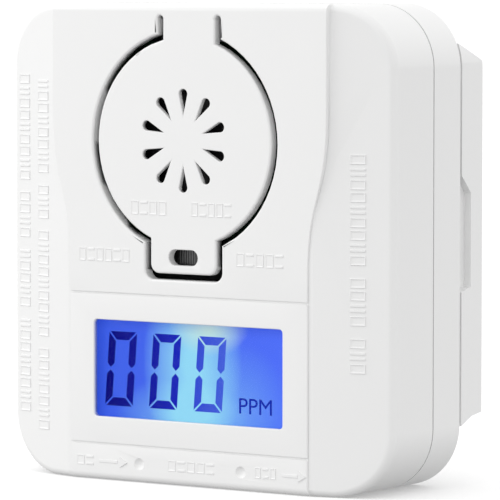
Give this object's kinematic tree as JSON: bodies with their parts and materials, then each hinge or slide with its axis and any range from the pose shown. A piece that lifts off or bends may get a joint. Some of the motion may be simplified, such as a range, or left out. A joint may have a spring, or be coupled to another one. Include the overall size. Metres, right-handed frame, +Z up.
{
  "type": "carbon monoxide alarm",
  "caption": "White domestic carbon monoxide alarm with a lit digital readout, a round test button with sound holes, and a slide-off wall bracket.",
  "frame": {"origin": "centre of the alarm in width and depth, at the height of its base; the housing stands on z = 0", "axes": "+X to the right of a person facing the alarm, which is the way the housing slides off; +Y from the face to the wall; +Z up"},
  "size_m": [0.096, 0.039, 0.1],
  "materials": {
    "white_shell": "fine matte moulded ABS",
    "clear_window": "clear acrylic",
    "lcd": "blue backlit liquid crystal glass",
    "light_guide": "frosted acrylic light guide",
    "backlight_lamp": "blue lamp module",
    "white_inner": "matte",
    "contact_rubber": "conductive elastomer",
    "circuit_board": "solder mask over glass fibre",
    "can_steel": "satin",
    "screw_steel": "zinc plated",
    "contact_nickel": "nickel plated",
    "sounder_brass": "satin",
    "black_part": "matte",
    "green_lamp": "tinted epoxy",
    "red_lamp": "tinted epoxy",
    "coil_copper": "enamelled copper wire",
    "capacitor_can": "satin",
    "red_lead": "PVC insulation",
    "black_lead": "PVC insulation",
    "cell_jacket": "printed film sleeve"
  },
  "bodies": {
    "wall_bracket": {"mounting_bracket": "white_shell"},
    "alarm_body": {"front_cover": "white_shell", "rear_cover": "white_shell", "display_window": "clear_window", "lcd_glass": "lcd", "backlight_guide": "light_guide", "backlight_led": "backlight_lamp", "lcd_holder": "white_inner", "co_sensor_cap": "white_inner", "zebra_strip": "contact_rubber", "main_board": "circuit_board", "co_sensor_can": "can_steel", "crystal": "can_steel", "housing_screw_1": "screw_steel", "housing_screw_2": "screw_steel", "housing_screw_3": "screw_steel", "housing_screw_4": "screw_steel", "board_screw_1": "screw_steel", "board_screw_2": "screw_steel", "board_screw_3": "screw_steel", "board_screw_4": "screw_steel", "battery_spring_1": "contact_nickel", "battery_spring_2": "contact_nickel", "battery_spring_3": "contact_nickel", "positive_terminal": "contact_nickel", "negative_terminal": "contact_nickel", "contact_bridge_upper": "contact_nickel", "contact_bridge_lower": "contact_nickel", "co_sensor_pin_1": "contact_nickel", "co_sensor_pin_2": "contact_nickel", "co_sensor_pin_3": "contact_nickel", "piezo_disc": "sounder_brass", "sounder_housing": "black_part", "test_switch_body": "black_part", "power_switch_body": "black_part", "led_holder": "black_part", "control_chip": "black_part", "coil_bobbin": "black_part", "operate_led": "green_lamp", "alarm_led": "red_lamp", "coil_winding": "coil_copper", "capacitor_1": "capacitor_can", "capacitor_2": "capacitor_can", "battery_lead_red": "red_lead", "battery_lead_black": "black_lead", "battery_cell_1": "cell_jacket", "battery_cell_2": "cell_jacket", "battery_cell_3": "cell_jacket"},
    "test_flap": {"test_button": "white_shell"},
    "test_plunger": {"test_switch_plunger": "contact_nickel"},
    "power_plunger": {"power_switch_plunger": "white_inner"}
  },
  "joints": [
    {"name": "bracket_slide", "type": "slide", "parent": "wall_bracket", "child": "alarm_body", "axis": [1, 0, 0], "range_m": [0, 0.008]},
    {"name": "test_button_hinge", "type": "hinge", "parent": "alarm_body", "child": "test_flap", "pos_m": [0, -0.0183, 0.0973], "axis": [1, 0, 0], "range_deg": [0, 1.19], "stiffness_Nm_per_rad": 3},
    {"name": "test_plunger_slide", "type": "slide", "parent": "alarm_body", "child": "test_plunger", "axis": [0, 1, 0], "range_m": [0, 0.00095]},
    {"name": "power_plunger_slide", "type": "slide", "parent": "alarm_body", "child": "power_plunger", "axis": [0, 1, 0], "range_m": [0, 0.0011]}
  ],
  "couplings": [
    {"joint": "test_plunger_slide", "follows": "test_button_hinge", "m_per_rad": 0.0432},
    {"joint": "power_plunger_slide", "follows": "bracket_slide", "ratio": 0.125}
  ]
}
